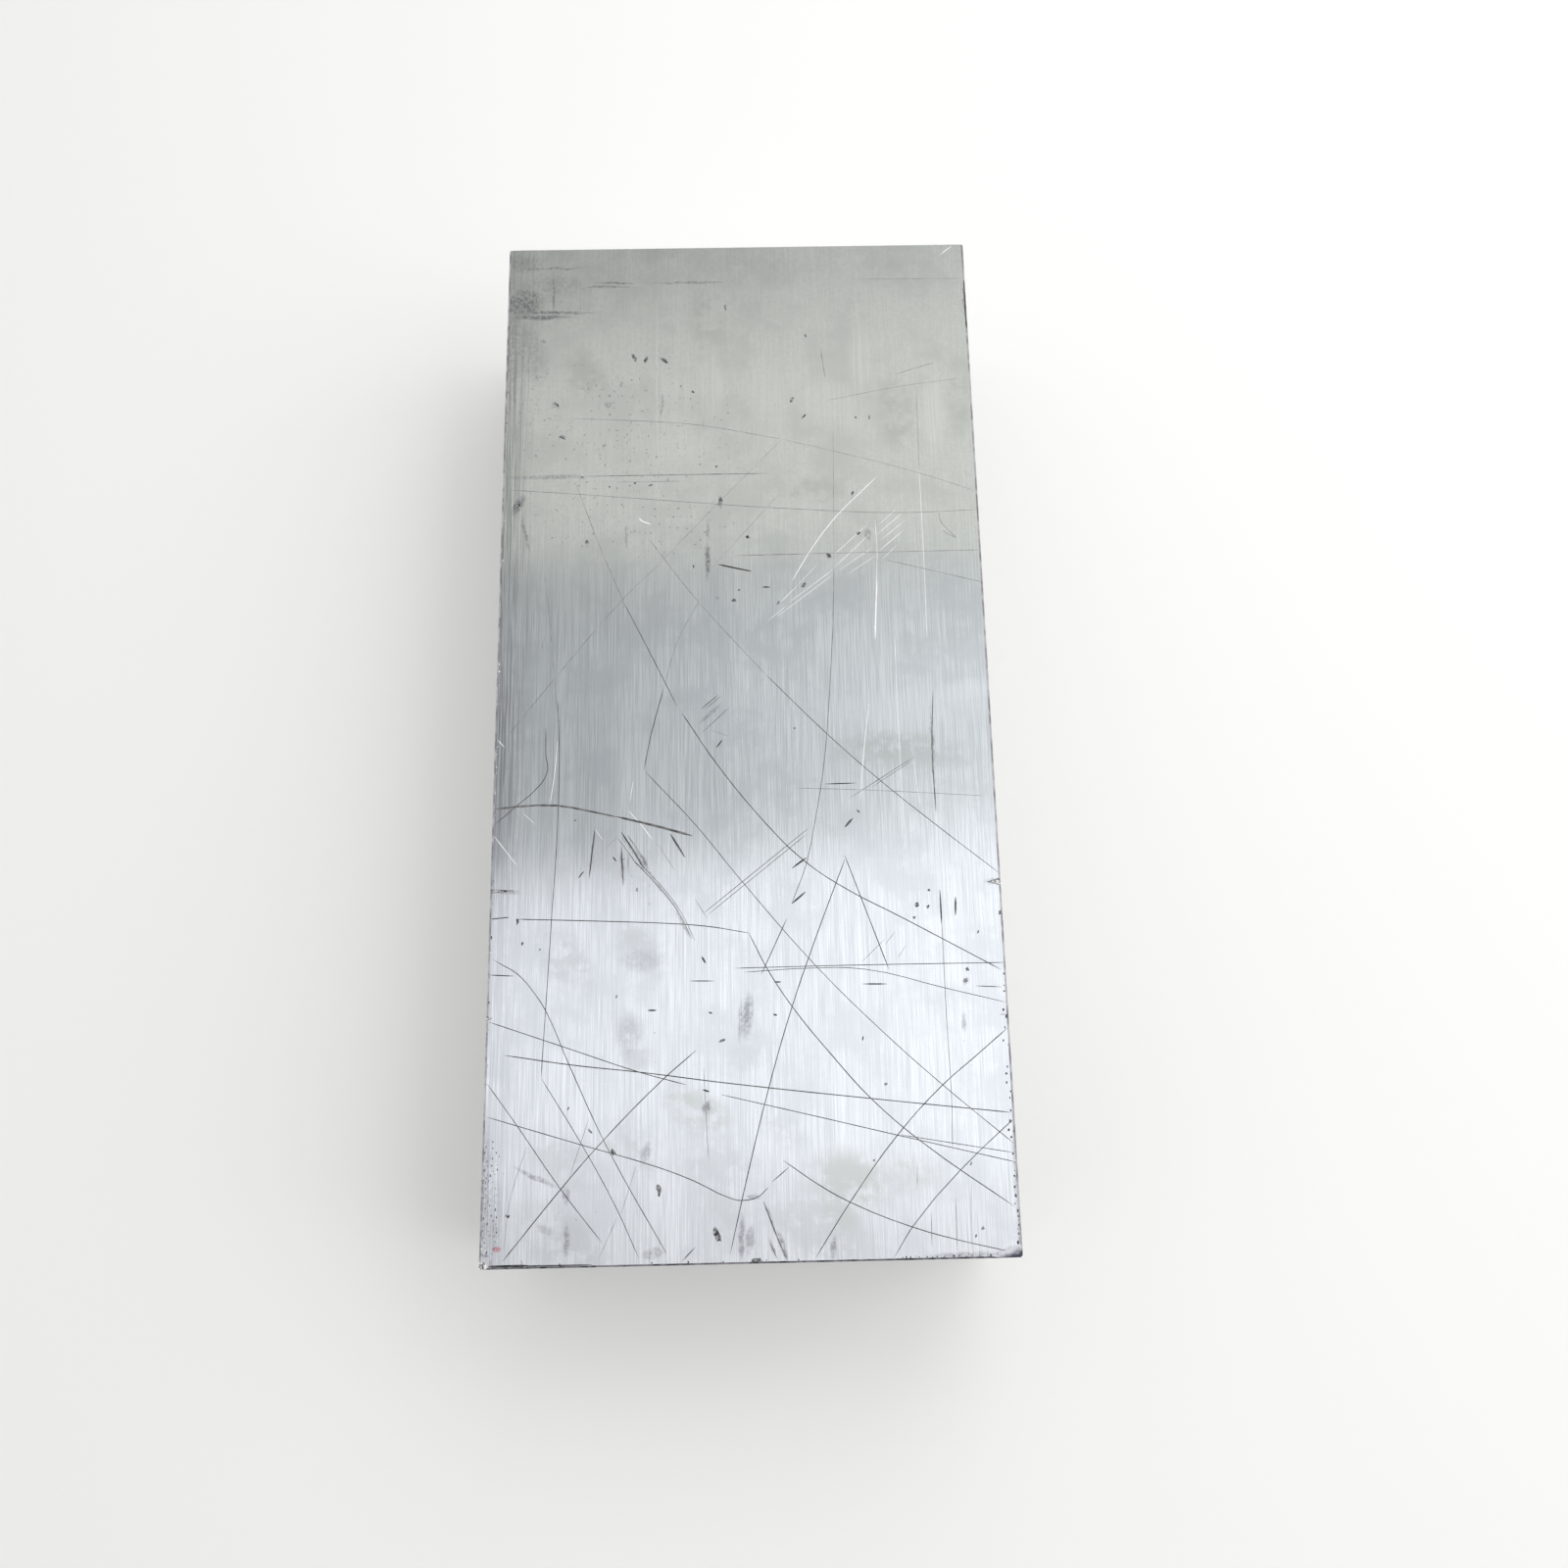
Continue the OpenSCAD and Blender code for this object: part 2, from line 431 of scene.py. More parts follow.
WIPES_AND_PAINTED_REFLECTIONS = [
    # Most rows are wiped patches. The rows at x 850 to 1016 and y 700 to 726 are a painted reflection of a
    # wavy band edge.
    (557, 570, 549, 930, 24, 0.5), (952, 385, 952, 468, 34, 0.8), (878, 340, 878, 395, 36, 0.6),
    (820, 395, 876, 430, 70, 0.5), (724, 360, 726, 432, 40, 0.6), (650, 450, 720, 460, 80, 0.45),
    (948, 712, 1016, 700, 34, 0.75), (780, 375, 790, 445, 60, 0.4), (680, 390, 700, 425, 60, 0.4),
    (595, 425, 620, 470, 70, 0.4), (920, 524, 795, 625, 26, 0.5), (670, 262, 671, 550, 3, 0.8),
    (850, 726, 1012, 718, 56, 0.5), (600, 500, 640, 530, 80, 0.4),
]
OLIVE_STAINS = [
    (852, 1200, 884, 1210, 72, 1.0), (895, 1196, 945, 1200, 50, 0.6), (848, 1226, 866, 1244, 40, 0.8),
    (866, 766, 944, 764, 52, 0.7), (873, 764, 890, 765, 14, 0.7), (684, 1120, 710, 1124, 18, 0.9),
    (618, 1168, 630, 1180, 16, 0.9), (700, 1130, 735, 1140, 40, 0.6),
]
SPECKLED_ZONES = [
    (530, 420, 720, 450, 260, 1.0), (540, 520, 740, 540, 140, 1.0), (500, 1170, 498, 1285, 44, 1.0),
    (535, 290, 590, 320, 100, 0.9), (640, 960, 660, 1110, 70, 0.7), (985, 1010, 990, 1100, 34, 0.8),
    (640, 860, 680, 920, 70, 0.8), (540, 1230, 640, 1270, 90, 0.7), (800, 420, 900, 440, 110, 0.5),
    (1038, 1130, 1042, 1280, 16, 1.0), (560, 700, 640, 760, 160, 0.6),
]
RED_FLECKS = [(504, 1275, 509, 1275, 6, 1.0), (532, 1286, 533, 1291, 2, 0.8)]
every_mark = SMEARS_AND_CORNER_SHADE + DIM_PATCHES + WIPES_AND_PAINTED_REFLECTIONS + OLIVE_STAINS + SPECKLED_ZONES + RED_FLECKS
print(len(every_mark), "soft marks")

# %% Measure how strong a mark is at a place
MARK_DEPTH = 3 * MM
WOBBLE = 1.2 * MM
WOBBLE_SIZE = 2.5 * MM


def object_place(tree):
    """The place on the plate that is being shaded, in metres."""
    return node(tree, "ShaderNodeTexCoord").outputs["Object"]


def wobbled(tree, place):
    """The same place, pushed about by noise."""
    swirl = node(tree, "ShaderNodeTexNoise", {"Vector": place, "Scale": 1 / WOBBLE_SIZE, "Detail": 3.0})
    both_ways = {0: swirl.outputs["Color"], 1: (0.5, 0.5, 0.5)}
    push = node(tree, "ShaderNodeVectorMath", both_ways, operation="SUBTRACT")
    inputs = {0: push.outputs["Vector"], 1: (WOBBLE, WOBBLE, WOBBLE), 2: place}
    return node(tree, "ShaderNodeVectorMath", inputs, operation="MULTIPLY_ADD").outputs["Vector"]


def soft_marks(tree, place, marks, plateau=0.0):
    """The strength of the strongest mark at a place. Within the plateau a mark has its full strength."""
    strongest = 0.0
    for start_x, start_y, stop_x, stop_y, width, strength in marks:
        first = on_top(start_x, start_y)
        last = on_top(stop_x, stop_y)
        run = last - first
        half = width * pixel / 2
        inputs = {
            "Vector": place,
            "Location": (first + last) / 2,
            "Rotation": (0, 0, math.atan2(run.y, run.x)),
            "Scale": (run.length / 2 + half, half, MARK_DEPTH),
        }
        squeezed = node(tree, "ShaderNodeMapping", inputs, vector_type="TEXTURE").outputs["Vector"]
        ball = node(tree, "ShaderNodeTexGradient", {"Vector": squeezed}, gradient_type="SPHERICAL")
        mark = ramp(tree, ball.outputs["Fac"], 0.0, 1.0 - plateau, 0.0, strength)
        strongest = maths(tree, "MAXIMUM", strongest, mark)
    return strongest


# %% [markdown]
# ## Mill-finish aluminium
# Bare aluminium is a bright grey metal. Rolling leaves fine streaks along the grain, and they spread a
# reflection across the grain and hardly along it. That is what the anisotropic setting does: its tangent
# lies across the grain, so it is the cross product of the normal and the grain. Noise that is squeezed
# across the grain and drawn out along it gives the streaks themselves.

# %% Draw streaks and blotches
GRAIN = (0, 1, 0)


def streaks(tree, place, across, along):
    """Noise drawn out along the grain: across and along are the sizes of one streak."""
    squeeze = (1 / across, 1 / along, 1 / across)
    stretched = node(tree, "ShaderNodeMapping", {"Vector": place, "Scale": squeeze})
    inputs = {"Vector": stretched.outputs["Vector"], "Scale": 1.0, "Detail": 2.0, "Roughness": 0.6}
    return node(tree, "ShaderNodeTexNoise", inputs).outputs["Fac"]


def blotches(tree, place, across, detail=3.0):
    """Noise in round patches of the given size."""
    inputs = {"Vector": place, "Scale": 1 / across, "Detail": detail, "Roughness": 0.6}
    return node(tree, "ShaderNodeTexNoise", inputs).outputs["Fac"]


def weighed(tree, *pairs):
    """The sum of values, each times its weight."""
    total = 0.0
    for value, weight in pairs:
        total = maths(tree, "ADD", total, maths(tree, "MULTIPLY", value, weight))
    return total


# %% Draw the grain
FINE_STREAK = (0.20 * MM, 12 * MM)
DASH = (0.42 * MM, 34 * MM)
BROAD_STREAK = (6 * MM, 110 * MM)
STREAK_RANGE = (0.37, 0.63)
DULL_STREAK = (0.690, 0.695, 0.700, 1)
BRIGHT_STREAK = (0.912, 0.915, 0.920, 1)

mill_face, tree, metal = new_material("mill_aluminium")
place = object_place(tree)
bent = wobbled(tree, place)
fine = streaks(tree, place, *FINE_STREAK)
dashes = streaks(tree, place, *DASH)
broad = streaks(tree, place, *BROAD_STREAK)
shade = weighed(tree, (fine, 0.50), (dashes, 0.36), (broad, 0.14))
colour = blend(tree, ramp(tree, shade, *STREAK_RANGE), DULL_STREAK, BRIGHT_STREAK)
print("grain has", len(tree.nodes), "nodes")

# %% [markdown]
# Air dulls bare aluminium. A thin film covers the far half of the face and hides the streaks there, so it
# has two tones of its own that lie close together. Soft grey clouds lie over the whole face.

# %% Dull the far half and add clouds
FILM_DARK = (0.765, 0.768, 0.771, 1)
FILM_PALE = (0.830, 0.833, 0.836, 1)
FILM_RANGE = (0.38, 0.62)
FILM_EDGE = (10 * MM, 55 * MM)
FILM_STRENGTH = 0.85
MOTTLE_SIZE = 0.7 * MM
TATTER_SIZE = 4 * MM
CLOUD = (0.72, 0.725, 0.735, 1)
CLOUD_SIZE = 11 * MM
CLOUD_STRENGTH = 0.8

position = node(tree, "ShaderNodeSeparateXYZ", {"Vector": place}).outputs
mottle = weighed(tree, (blotches(tree, place, MOTTLE_SIZE), 0.6), (shade, 0.4))
dull_film = blend(tree, ramp(tree, mottle, *FILM_RANGE), FILM_DARK, FILM_PALE)
filmed = ramp(tree, position["Y"], *FILM_EDGE, high_end=FILM_STRENGTH)
colour = blend(tree, filmed, colour, dull_film)
ragged = ramp(tree, blotches(tree, bent, TATTER_SIZE, detail=4.0), 0.38, 0.58, low_end=0.15)
clouds = ramp(tree, blotches(tree, bent, CLOUD_SIZE, detail=4.0), 0.44, 0.66, high_end=CLOUD_STRENGTH)
colour = blend(tree, clouds, colour, CLOUD)
print("the film is full", round(FILM_EDGE[1] / MM), "mm beyond the middle")

# %% [markdown]
# The sides and the base are darker, most of all in the hollows of the streaks. A band along the left edge
# of the face is rubbed dark in the same way, and less so towards its two ends.

# %% Darken the sides and rub the left band
SIDE_DARK_TONE = (0.42, 0.42, 0.43, 1)
RUBBED_BAND = (0.40, 0.395, 0.41, 1)
BAND_WIDTH = 9 * MM
SHOULDER_TOP = top - 0.1 * MM
SHOULDER_FOOT = top - 1.0 * MM
NEAR_FADE = (-45 * MM, -8 * MM)
FAR_FADE = (far - 12 * MM, far - 40 * MM)
FADED = 0.3

low_down = ramp(tree, position["Z"], SHOULDER_TOP, SHOULDER_FOOT)
sides_darkened = maths(tree, "MULTIPLY", low_down, ramp(tree, shade, 0.60, 0.40, low_end=0.2, high_end=0.55))
colour = blend(tree, sides_darkened, colour, SIDE_DARK_TONE)
on_face = ramp(tree, position["Z"], SHOULDER_FOOT, SHOULDER_TOP)
rubbed = maths(tree, "MULTIPLY", ramp(tree, position["X"], left + BAND_WIDTH, left), on_face)
for fade in (NEAR_FADE, FAR_FADE):
    rubbed = maths(tree, "MULTIPLY", rubbed, ramp(tree, position["Y"], *fade, low_end=FADED))
hollows = weighed(tree, (fine, 0.4), (dashes, 0.6))
rubbed = maths(tree, "MULTIPLY", rubbed, ramp(tree, hollows, 0.60, 0.38, low_end=0.1))
colour = blend(tree, rubbed, colour, RUBBED_BAND)
print("the rubbed band is", round(BAND_WIDTH / MM), "mm wide")

# %% [markdown]
# The soft marks go on top. Dim and olive films have ragged edges, and pale patches are wiped along the
# grain; two of them, on the right of the middle, are a painted reflection of a wavy band edge. Specks are the
# peaks of fine noise, and a speckled zone lifts more peaks over the limit. Dark smears, painted shade at the
# near left corner and flecks of red paint are broken up by the mottle below them.

# %% Stain the face
DIM_FILM = (0.65, 0.655, 0.655, 1)
OLIVE_FILM = (0.635, 0.64, 0.605, 1)
PALE_WIPE_AND_REFLECTION = (0.90, 0.905, 0.915, 1)
SPECK = (0.27, 0.26, 0.28, 1)
SPECK_LIMIT = 0.76
ZONE_LIFT = 0.16
GRIT_SIZE = 1.0 * MM
TICK = (0.4 * MM, 3 * MM)
SMEAR_AND_SHADE_TONE = (0.225, 0.22, 0.25, 1)
RED_PAINT = (0.62, 0.35, 0.38, 1)

for tint, marks in ((DIM_FILM, DIM_PATCHES), (OLIVE_FILM, OLIVE_STAINS)):
    stained = maths(tree, "MULTIPLY", soft_marks(tree, bent, marks, plateau=0.35), ragged)
    colour = blend(tree, stained, colour, tint)
# Wiped patches, and a painted reflection on the right of the middle.
wiped_and_reflected = soft_marks(tree, bent, WIPES_AND_PAINTED_REFLECTIONS, plateau=0.3)
wiped_and_reflected = maths(tree, "MULTIPLY", wiped_and_reflected, ramp(tree, dashes, 0.36, 0.62, low_end=0.35, high_end=0.95))
colour = blend(tree, wiped_and_reflected, colour, PALE_WIPE_AND_REFLECTION)
zones = soft_marks(tree, place, SPECKLED_ZONES, plateau=0.5)
speckled = weighed(tree, (zones, ZONE_LIFT), (SPECK_LIMIT, -1.0))
grit = weighed(tree, (blotches(tree, place, GRIT_SIZE, detail=2.0), 1.0), (speckled, 1.0))
ticks = weighed(tree, (streaks(tree, place, *TICK), 1.0), (speckled, 1.0))
round_specks = ramp(tree, grit, 0.04, 0.10, high_end=0.6)
long_specks = ramp(tree, ticks, 0.06, 0.13, high_end=0.45)
specks = maths(tree, "MAXIMUM", round_specks, long_specks)
colour = blend(tree, specks, colour, SPECK)
# Dark smears, and painted shade at the near left corner.
smeared_and_shaded = soft_marks(tree, bent, SMEARS_AND_CORNER_SHADE, plateau=0.35)
smeared_and_shaded = maths(tree, "MULTIPLY", smeared_and_shaded, ramp(tree, mottle, 0.58, 0.44, low_end=0.4))
colour = blend(tree, smeared_and_shaded, colour, SMEAR_AND_SHADE_TONE)
painted = soft_marks(tree, place, RED_FLECKS, plateau=0.6)
painted = maths(tree, "MULTIPLY", painted, ramp(tree, mottle, 0.38, 0.52, low_end=0.4))
colour = blend(tree, painted, colour, RED_PAINT)
print("stained face has", len(tree.nodes), "nodes")

# %% [markdown]
# The shader takes the colour, the shine and the direction of the grain. Broad streaks differ a little in
# polish, smears are rougher, and a faint bump lets single streaks catch the light.

# %% Wire the mill finish
POLISH = (0.16, 0.19)
SMEAR_ROUGHNESS = 0.2
BUMP_STRENGTH = 0.10
BUMP_HEIGHT = 0.1 * MM

tree.links.new(colour, metal.inputs["Base Color"])
polish = ramp(tree, broad, 0.3, 0.7, *POLISH)
tree.links.new(weighed(tree, (polish, 1.0), (smeared_and_shaded, SMEAR_ROUGHNESS)), metal.inputs["Roughness"])
metal.inputs["Metallic"].default_value = 1.0
metal.inputs["Anisotropic"].default_value = 1.0
bump = node(tree, "ShaderNodeBump", {"Strength": BUMP_STRENGTH, "Distance": BUMP_HEIGHT, "Height": fine})
tree.links.new(bump.outputs["Normal"], metal.inputs["Normal"])
facing = node(tree, "ShaderNodeNewGeometry").outputs["Normal"]
crosswise = node(tree, "ShaderNodeVectorMath", {0: facing, 1: GRAIN}, operation="CROSS_PRODUCT")
tree.links.new(crosswise.outputs["Vector"], metal.inputs["Tangent"])
print("mill finish has", len(tree.nodes), "nodes")

# %% [markdown]
# ## The other bare surfaces
# The saw leaves the ends duller, with upright lines. The same trick as for the grain draws them: noise
# that is squeezed across and drawn out upright, with soft patches of grime over it.

# %% Build the sawn finish
TOOTH_LINE = 0.5 * MM
TOOTH_LENGTH = 40 * MM
SAWN_DARK = (0.48, 0.49, 0.50, 1)
SAWN_PALE = (0.76, 0.77, 0.78, 1)
SAWN_ROUGHNESS = 0.42
GRIME = (0.45, 0.45, 0.45, 1)
GRIME_SIZE = 14 * MM

sawn_end, tree, metal = new_material("sawn_aluminium")
place = object_place(tree)
squeeze = (1 / TOOTH_LINE, 1, 1 / TOOTH_LENGTH)
upright = node(tree, "ShaderNodeMapping", {"Vector": place, "Scale": squeeze}).outputs["Vector"]
teeth = node(tree, "ShaderNodeTexNoise", {"Vector": upright, "Scale": 1.0, "Detail": 2.0}).outputs["Fac"]
grime = ramp(tree, blotches(tree, place, GRIME_SIZE), 0.45, 0.75, high_end=0.45)
colour = blend(tree, ramp(tree, teeth, 0.3, 0.7), SAWN_DARK, SAWN_PALE)
tree.links.new(blend(tree, grime, colour, GRIME), metal.inputs["Base Color"])
metal.inputs["Metallic"].default_value = 1.0
metal.inputs["Roughness"].default_value = SAWN_ROUGHNESS
print("sawn finish has", len(tree.nodes), "nodes")

# %% [markdown]
# Handling rounds the edges and fills them with grey dirt, and their dark tone is also a painted dark
# reflection. A scratch has walls of its own: old ones hold dirt and look dark, and the bright ones are a
# painted highlight, white and not a mirror, so they shine from every side. All of them are one kind of metal
# whose colour wanders between two tones; in the pits those tones are painted shade and painted highlights.

# %% Build the metals of edges and scratches
WORN_ROUGHNESS = 0.5
TORN_ROUGHNESS = 0.45


def wandering_metal(name, dark, pale, patch, roughness=WORN_ROUGHNESS):
    """Bare metal whose colour wanders between two tones in patches of the given size."""
    material, tree, metal = new_material(name)
    share = ramp(tree, blotches(tree, object_place(tree), patch), 0.35, 0.65)
    tree.links.new(blend(tree, share, dark, pale), metal.inputs["Base Color"])
    metal.inputs["Metallic"].default_value = 1.0
    metal.inputs["Roughness"].default_value = roughness
    return material


# Grey dirt, and a painted dark reflection along the rounded edges.
edge_dirt_and_dark_reflection = wandering_metal("edge_dirt_and_dark_reflection", (0.27, 0.26, 0.29, 1), (0.58, 0.57, 0.60, 1), 3 * MM)
torn_metal = wandering_metal(
    "torn_metal", (0.07, 0.07, 0.08, 1), (0.94, 0.94, 0.94, 1), 0.55 * MM, TORN_ROUGHNESS
)
# The steep slopes over the near end are painted nearly black: painted shade for the dark line where the near
# edge meets its shadow.
near_edge_shade = wandering_metal("near_edge_shade", (0.04, 0.04, 0.05, 1), (0.30, 0.29, 0.33, 1), 1.4 * MM)
old_scratch = wandering_metal("old_scratch", (0.13, 0.13, 0.13, 1), (0.34, 0.33, 0.32, 1), 1.5 * MM)
# This dark metal is also painted shade in two grooves along the near edge.
dark_scratch_and_edge_shade = wandering_metal("dark_scratch_and_edge_shade", (0.07, 0.07, 0.07, 1), (0.20, 0.20, 0.20, 1), 3 * MM)
grey_scratch = wandering_metal("grey_scratch", (0.22, 0.22, 0.22, 1), (0.46, 0.46, 0.45, 1), 3 * MM)
# White and not metal: a painted highlight, so these grooves shine from every side.
glint_scratch = wandering_metal("glint_scratch", (0.90, 0.90, 0.91, 1), (0.98, 0.98, 0.98, 1), 2 * MM)
glint_scratch.node_tree.nodes["Principled BSDF"].inputs["Metallic"].default_value = 0.0
# Its near-black and grey patches are painted shade and painted highlights inside the pits and bites.
pit_shade_and_glints = wandering_metal("pit_shade_and_glints", (0.06, 0.06, 0.06, 1), (0.52, 0.52, 0.53, 1), 0.5 * MM)
print("materials:", [material.name for material in bpy.data.materials])

# %% [markdown]
# The bruise on the near right corner is bright where it meets the top face and darker lower down, so its
# colour darkens with the drop. Noise breaks up the line between the two.

# %% Build the bruised metal
BRUISE_RIM = (0.74, 0.74, 0.78, 1)
BRUISE_LOW_TONE = (0.08, 0.08, 0.11, 1)
BRUISE_PATCH = 1.1 * MM
RIM_DROP = 0.05 * MM
DARK_DROP = 0.55 * MM

bruised, tree, metal = new_material("bruised_metal")
place = object_place(tree)
level = node(tree, "ShaderNodeSeparateXYZ", {"Vector": place}).outputs["Z"]
sunk = ramp(tree, level, top - RIM_DROP, top - DARK_DROP)
darkening = weighed(tree, (blotches(tree, place, BRUISE_PATCH), 0.7), (sunk, 0.45))
colour = blend(tree, ramp(tree, darkening, 0.30, 0.85), BRUISE_RIM, BRUISE_LOW_TONE)
tree.links.new(colour, metal.inputs["Base Color"])
metal.inputs["Metallic"].default_value = 1.0
metal.inputs["Roughness"].default_value = WORN_ROUGHNESS
print("the bruise is dirty from", round(DARK_DROP / MM, 2), "mm below the top face")

# %% [markdown]
# The way a face looks tells its finish: square faces are sawn or milled, the flat slope at the near end is
# the bruise, the steeper slopes over the near end are painted shade, nearly black, the rounds along the top
# are worn and their dark tone is partly a painted reflection, and the rest is dull as the saw left it.

# %% Turn the block into an object
FLAT = 0.999
LEANING = 0.1
NEARLY_LEVEL = 0.9


def finish_of(face):
    """Says which material a face of the block has, by the way it looks."""
    if faces_end(face):
        return sawn_end
    if max(abs(part) for part in face.normal) > FLAT:
        return mill_face
    if face.normal.z < LEANING or face.normal.y > LEANING:
        return sawn_end
    if face.normal.y < -LEANING:
        return bruised if face.normal.z > NEARLY_LEVEL else near_edge_shade
    return edge_dirt_and_dark_reflection


FINISHES = [mill_face, sawn_end, edge_dirt_and_dark_reflection, near_edge_shade, bruised]
for face in block.faces:
    face.material_index = FINISHES.index(finish_of(face))
plate_mesh = bpy.data.meshes.new("scratched_plate")
block.to_mesh(plate_mesh)
block.free()
for material in FINISHES:
    plate_mesh.materials.append(material)
plate = new_object("scratched_plate", plate_mesh)
print("plate mesh has", len(plate_mesh.polygons), "faces")

# %% [markdown]
# ## Nicks and the dent
# Hard knocks take metal away, so each one is a shape cut out of the plate with a Boolean, and the cut
# keeps the material of the tool. A nick is a cone that opens towards the side, and the dent in the near
# left corner is a ball that came down on the corner from above. A nick's row is its side, its distance
# from the near end, its run into the top face and its width at the edge, in millimetres.

# %% Cut a tool out of the plate


def tool_object(shape, material):
    """Makes a cutting tool of a bmesh."""
    mesh = bpy.data.meshes.new("tool")
    shape.to_mesh(mesh)
    shape.free()
    mesh.materials.append(material)
    return new_object("tool", mesh)


def carve(tool):
    """Cuts a tool out of the plate and throws the tool away."""
    cut = plate.modifiers.new("cut", "BOOLEAN")
    cut.operation = "DIFFERENCE"
    cut.solver = "MANIFOLD"
    cut.material_mode = "TRANSFER"
    cut.object = tool
    carved = bpy.data.meshes.new_from_object(plate.evaluated_get(bpy.context.evaluated_depsgraph_get()))
    plate.modifiers.clear()
    plate.data = carved
    bpy.data.objects.remove(tool)


# %% Knock the edges and the near left corner
NICKS = [
    (1, 77.0, 3.1, 1.9),
    (-1, 77.0, 6.4, 0.9),
    (-1, 17.0, 1.3, 1.1),
    (-1, 50.0, 1.3, 1.1),
    (-1, 64.0, 1.3, 1.1),
]
DENT_REACH = 2.0 * MM
DENT_DROP = 0.7 * MM
NICK_SIDES = 24
DENT_STEPS = 5

for side, from_near, run, width in NICKS:
    mouth = Vector((right if side > 0 else left, near + from_near * MM, top))
    cone_place = Matrix.Translation(mouth) @ Matrix.Rotation(math.radians(90 * side), 4, "Y")
    cone = bmesh.new()
    bmesh.ops.create_cone(
        cone, cap_ends=True, segments=NICK_SIDES, radius1=0, radius2=width * MM,
        depth=2 * run * MM, matrix=cone_place,
    )
    carve(tool_object(cone, torn_metal))

dent_out = DENT_REACH / 4
dent_rise = (DENT_REACH * (DENT_REACH + 2 * dent_out) - DENT_DROP**2) / (2 * DENT_DROP)
ball_radius = Vector((DENT_REACH + dent_out, dent_out, dent_rise)).length
dent_ball = bmesh.new()
ball_place = Matrix.Translation((left - dent_out, near - dent_out, top + dent_rise))
bmesh.ops.create_icosphere(dent_ball, subdivisions=DENT_STEPS, radius=ball_radius, matrix=ball_place)
carve(tool_object(dent_ball, torn_metal))
print("knocked plate has", len(plate.data.polygons), "faces")

# %% [markdown]
# ## Scratches
# A scratch is a furrow that a hard corner has ploughed, and it fades where the corner lifts off. Each
# one is a real groove: a rod with a diamond section runs along the traced path, thins at both ends, and
# is cut out of the plate. The rod wanders up and down a little, so the groove comes and goes.

# %% Shape the rod that ploughs a groove
GROOVE_SLOPE = 0.5
RING_SPACING = 2.5 * MM
TIP_LENGTH = 2 * MM
TIP_SHARE = 0.3
TIP_RADIUS = 0.35
WANDER_LENGTH = 7 * MM
WANDER = 0.2
SAME_SPOT = 1e-7


def with_tips(path):
    """Adds a knot a little way in from each end, where the groove reaches its full width."""
    lead = path[1] - path[0]
    tail = path[-2] - path[-1]
    lead_in = path[0] + lead.normalized() * min(TIP_LENGTH, lead.length * TIP_SHARE)
    tail_in = path[-1] + tail.normalized() * min(TIP_LENGTH, tail.length * TIP_SHARE)
    return [path[0], lead_in, *path[1:-1], tail_in, path[-1]]


def groove_rod(points, width, material):
    """A tapered diamond rod, half sunk in the top face, along pixels of the picture."""
    path = with_tips([on_top(*point) for point in points])
    reach = sum((after - before).length for before, after in zip(path, path[1:]))
    curve = bpy.data.curves.new("groove", "CURVE")
    curve.dimensions = "3D"
    curve.twist_mode = "Z_UP"
    curve.bevel_depth = width / 2
    curve.bevel_resolution = 0
    curve.use_fill_caps = True
    curve.resolution_u = max(2, round(reach / (len(path) - 1) / RING_SPACING))
    spline = curve.splines.new("BEZIER")
    spline.bezier_points.add(len(path) - 1)
    for number, (knot, spot) in enumerate(zip(spline.bezier_points, path)):
        knot.co = spot
        knot.handle_left_type = knot.handle_right_type = "AUTO"
        knot.radius = TIP_RADIUS if number in (0, len(path) - 1) else 1.0
    swept = new_object("groove", curve)
    mesh = bpy.data.meshes.new_from_object(swept.evaluated_get(bpy.context.evaluated_depsgraph_get()))
    bpy.data.objects.remove(swept)
    rod = bmesh.new()
    rod.from_mesh(mesh)
    bmesh.ops.remove_doubles(rod, verts=rod.verts, dist=SAME_SPOT)
    bmesh.ops.recalc_face_normals(rod, faces=rod.faces)
    for face in rod.faces:
        face.smooth = False
    for vert in rod.verts:
        lift = noise.noise(vert.co / WANDER_LENGTH) * WANDER * width
        vert.co.z = top + (vert.co.z - top + lift) * GROOVE_SLOPE
    return tool_object(rod, material)


def plough(scratches, material):
    """Cuts every groove of a list. A row is its width in millimetres, then x and y of each pixel passed."""
    for width, *track in scratches:
        points = list(zip(track[::2], track[1::2]))
        carve(groove_rod(points, width * MM, material))
    print(len(scratches), "grooves of", material.name, "leave", len(plate.data.polygons), "faces")


